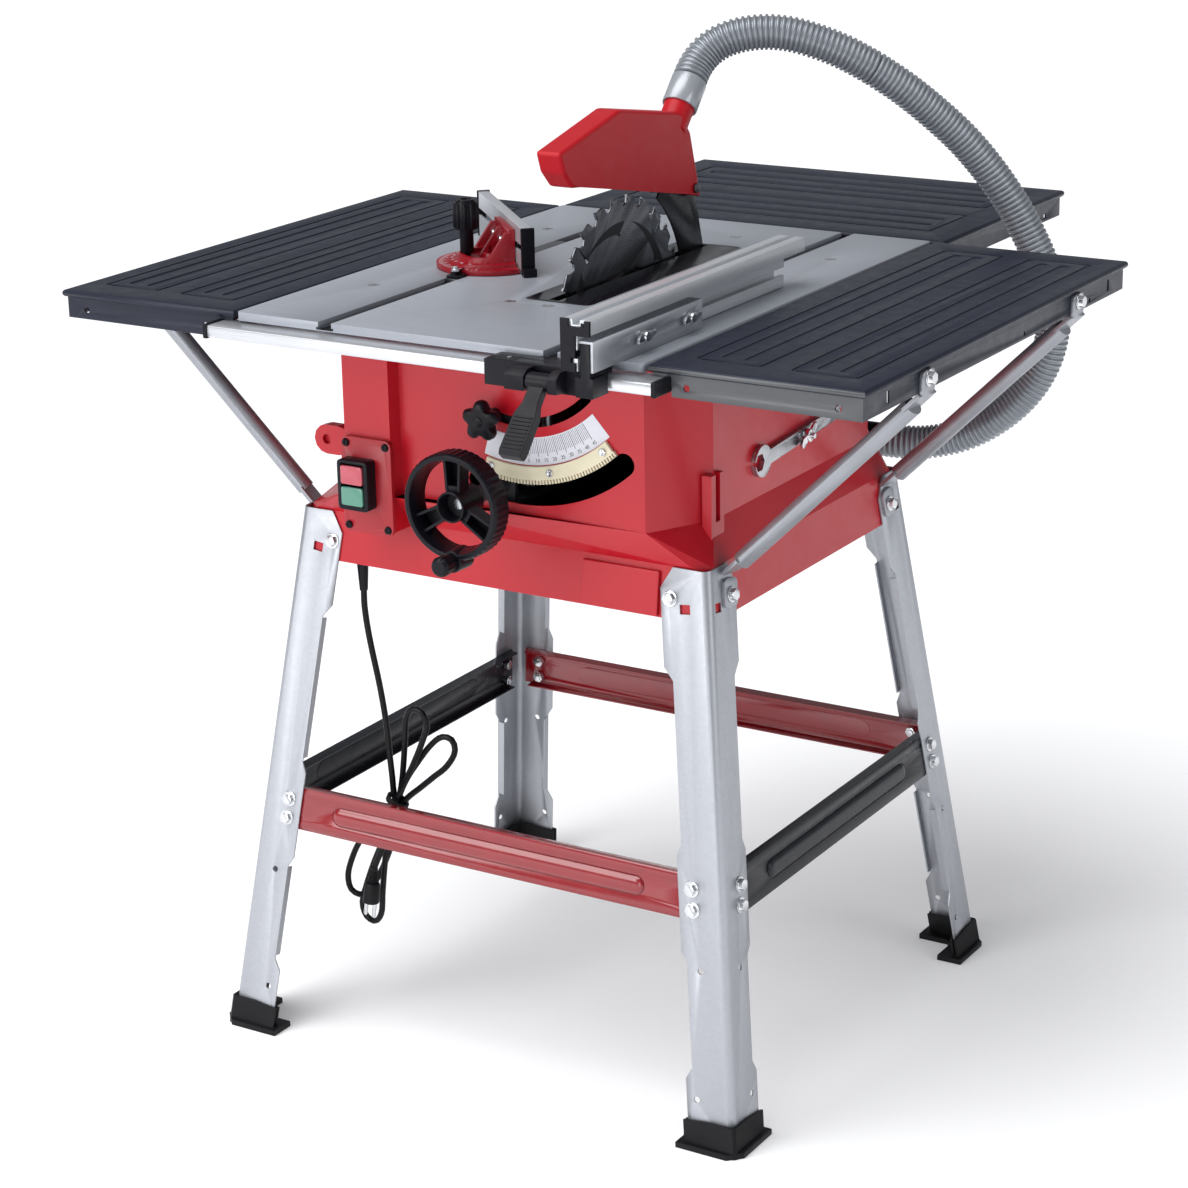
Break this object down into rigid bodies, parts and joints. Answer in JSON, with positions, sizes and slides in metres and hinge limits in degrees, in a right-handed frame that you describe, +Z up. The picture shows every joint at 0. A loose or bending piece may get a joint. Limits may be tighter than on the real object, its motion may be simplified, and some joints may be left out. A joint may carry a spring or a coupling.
{
  "type": "table saw on stand",
  "caption": "Table saw on a four-leg stand: tilting, height-adjustable blade, guard with dust hose, rip fence, mitre gauge and side and rear table extensions.",
  "frame": {"origin": "middle of the saw in plan, on the floor under the feet", "axes": "+X to the operator's right, along the front edge of the table; +Y to the rear, along the cut; +Z up"},
  "size_m": [0.9526, 1.0708, 1.1009],
  "materials": {
    "red_paint": "glossy red enamel on sheet steel",
    "red_plastic": "glossy red moulded plastic",
    "table_alloy": "light grey satin cast and ground table top",
    "black_leaf": "black satin powder coat on sheet steel",
    "insert_metal": "dark satin plate",
    "galvanised": "silver galvanised sheet steel",
    "strut_grey": "grey satin painted tube",
    "zinc_fastener": "bright zinc plated fasteners",
    "extruded_alloy": "satin anodised aluminium extrusion",
    "black_plastic": "black moulded plastic, fine texture",
    "foot_rubber": "black rubber",
    "cream_plastic": "cream moulded plastic",
    "stop_red": "glossy red plastic",
    "start_green": "glossy green plastic",
    "machine_steel": "turned and ground steel",
    "cast_grey": "as-cast grey alloy",
    "blade_steel": "polished saw steel with carbide tips",
    "knife_black": "black oxide spring steel",
    "hose_grey": "silver-grey corrugated plastic",
    "cord_black": "black flexible cord sheath"
  },
  "bodies": {
    "root": {"cabinet": "red_paint", "cabinet_base": "red_paint", "main_table": "table_alloy", "table_insert": "insert_metal", "left_extension": "black_leaf", "right_extension": "black_leaf", "rear_extension": "black_leaf", "extension_struts": "strut_grey", "front_rail": "extruded_alloy", "legs": "galvanised", "rubber_feet": "foot_rubber", "cross_braces": "red_paint", "side_braces": "black_leaf", "frame_bolts": "zinc_fastener", "machine_screws": "zinc_fastener", "switch_plate": "red_plastic", "switch_box": "black_plastic", "tilt_rack": "cream_plastic", "trunnion_brackets": "cast_grey", "dust_outlet": "black_plastic", "spanners": "machine_steel", "cord_gland": "black_plastic", "power_cord": "cord_black", "cord_hank": "cord_black", "plug": "cord_black", "extraction_hose": "hose_grey"},
    "tilt_unit": {"tilt_frame": "cast_grey", "guide_columns": "machine_steel"},
    "handwheel": {"handwheel_shaft": "machine_steel", "handwheel": "black_plastic"},
    "crank_grip": {"crank_grip": "black_plastic"},
    "tilt_lock": {"tilt_lock_knob": "black_plastic"},
    "lead_screw": {"lead_screw": "machine_steel"},
    "carriage": {"carriage": "cast_grey", "motor": "cast_grey", "gear_case": "cast_grey", "riving_knife": "knife_black", "knife_bolts": "zinc_fastener"},
    "motor_rotor": {"motor_pinion": "machine_steel"},
    "blade_spindle": {"arbor": "machine_steel", "blade": "blade_steel", "blade_flanges": "machine_steel"},
    "guard": {"guard_shell": "red_plastic", "guard_cuff": "hose_grey"},
    "stop_button": {"stop_button": "stop_red"},
    "start_button": {"start_button": "start_green"},
    "fence_carriage": {"fence_carrier": "black_plastic", "fence_bracket": "galvanised"},
    "fence_lever": {"fence_lever": "black_plastic"},
    "fence": {"fence_profile": "extruded_alloy", "fence_end_cap": "black_plastic"},
    "fence_wing_front": {"fence_wing_bolt_front": "zinc_fastener"},
    "fence_wing_rear": {"fence_wing_bolt_rear": "zinc_fastener"},
    "mitre_slide": {"mitre_bar": "machine_steel"},
    "mitre_head": {"mitre_head": "red_plastic"},
    "mitre_fence": {"mitre_fence": "extruded_alloy"},
    "mitre_wing_left": {"mitre_wing_bolt_left": "zinc_fastener"},
    "mitre_wing_right": {"mitre_wing_bolt_right": "zinc_fastener"},
    "mitre_knob": {"mitre_knob": "black_plastic"},
    "spanner_nut": {"spanner_wing_nut": "zinc_fastener"}
  },
  "joints": [
    {"name": "blade_tilt", "type": "hinge", "parent": "root", "child": "tilt_unit", "pos_m": [0.02, -0.1206, 0.85], "axis": [0, -1, 0], "range_deg": [0, 45], "deforming": ["extraction_hose"]},
    {"name": "handwheel_turn", "type": "hinge", "parent": "tilt_unit", "child": "handwheel", "pos_m": [-0.00925, -0.3906, 0.6653], "axis": [0, 1, 0], "range_deg": [-3560, 1]},
    {"name": "crank_grip_spin", "type": "hinge", "parent": "handwheel", "child": "crank_grip", "pos_m": [-0.00925, -0.4106, 0.6083], "axis": [0, 1, 0], "continuous": true},
    {"name": "tilt_lock_turn", "type": "hinge", "parent": "tilt_unit", "child": "tilt_lock", "pos_m": [-0.00925, -0.3356, 0.74085], "axis": [0, 1, 0], "range_deg": [-540, 0]},
    {"name": "lead_screw_turn", "type": "hinge", "parent": "tilt_unit", "child": "lead_screw", "pos_m": [-0.00925, -0.2386, 0.7], "axis": [0, 0, 1], "range_deg": [-3560, 1]},
    {"name": "blade_height", "type": "slide", "parent": "tilt_unit", "child": "carriage", "axis": [0, 0, 1], "range_m": [-0.0395, 0], "deforming": ["extraction_hose"]},
    {"name": "motor_spin", "type": "hinge", "parent": "carriage", "child": "motor_rotor", "pos_m": [0, -0.0936, 0.786], "axis": [1, 0, 0], "continuous": true},
    {"name": "blade_spin", "type": "hinge", "parent": "carriage", "child": "blade_spindle", "pos_m": [0, -0.1116, 0.81], "axis": [1, 0, 0], "continuous": true},
    {"name": "guard_lift", "type": "hinge", "parent": "carriage", "child": "guard", "pos_m": [0.021, 0.0254, 0.921], "axis": [1, 0, 0], "range_deg": [-50, 11], "deforming": ["extraction_hose"]},
    {"name": "stop_button_press", "type": "slide", "parent": "root", "child": "stop_button", "axis": [0, 1, 0], "range_m": [0, 0.003], "stiffness_N_per_m": 600},
    {"name": "start_button_press", "type": "slide", "parent": "root", "child": "start_button", "axis": [0, 1, 0], "range_m": [0, 0.003], "stiffness_N_per_m": 600},
    {"name": "fence_width", "type": "slide", "parent": "root", "child": "fence_carriage", "axis": [1, 0, 0], "range_m": [-0.145, 0.012]},
    {"name": "fence_lever_lift", "type": "hinge", "parent": "fence_carriage", "child": "fence_lever", "pos_m": [0.15, -0.4786, 0.832], "axis": [1, 0, 0], "range_deg": [-75, 0]},
    {"name": "fence_reach", "type": "slide", "parent": "fence_carriage", "child": "fence", "axis": [0, 1, 0], "range_m": [-0.1, 0.075]},
    {"name": "fence_wing_front_turn", "type": "hinge", "parent": "fence_carriage", "child": "fence_wing_front", "pos_m": [0.222, -0.4006, 0.867], "axis": [1, 0, 0], "range_deg": [-360, 360]},
    {"name": "fence_wing_rear_turn", "type": "hinge", "parent": "fence_carriage", "child": "fence_wing_rear", "pos_m": [0.222, -0.3126, 0.867], "axis": [1, 0, 0], "range_deg": [-360, 360]},
    {"name": "mitre_travel", "type": "slide", "parent": "root", "child": "mitre_slide", "axis": [0, 1, 0], "range_m": [-0.26, 0.18]},
    {"name": "mitre_swing", "type": "hinge", "parent": "mitre_slide", "child": "mitre_head", "pos_m": [-0.129, -0.1286, 0.86], "axis": [0, 0, 1], "range_deg": [-15, 105]},
    {"name": "mitre_fence_shift", "type": "slide", "parent": "mitre_head", "child": "mitre_fence", "axis": [-0.7071, 0.7071, 0], "range_m": [-0.08, 0.03]},
    {"name": "mitre_wing_left_turn", "type": "hinge", "parent": "mitre_head", "child": "mitre_wing_left", "pos_m": [-0.13642, -0.1042, 0.878], "axis": [0.7071, 0.7071, 0], "range_deg": [-360, 360]},
    {"name": "mitre_wing_right_turn", "type": "hinge", "parent": "mitre_head", "child": "mitre_wing_right", "pos_m": [-0.11026, -0.13037, 0.878], "axis": [0.7071, 0.7071, 0], "range_deg": [-360, 360]},
    {"name": "mitre_knob_turn", "type": "hinge", "parent": "mitre_head", "child": "mitre_knob", "pos_m": [-0.15304, -0.14062, 0.9], "axis": [0, 0, 1], "range_deg": [-360, 0]},
    {"name": "spanner_nut_turn", "type": "hinge", "parent": "root", "child": "spanner_nut", "pos_m": [0.216, -0.0516, 0.685], "axis": [1, 0, 0], "range_deg": [-360, 360]}
  ],
  "couplings": [
    {"joint": "lead_screw_turn", "follows": "blade_height", "rad_per_m": 1570.8},
    {"joint": "handwheel_turn", "follows": "blade_height", "rad_per_m": 1570.8},
    {"joint": "motor_spin", "follows": "blade_spin", "ratio": -2.75}
  ]
}
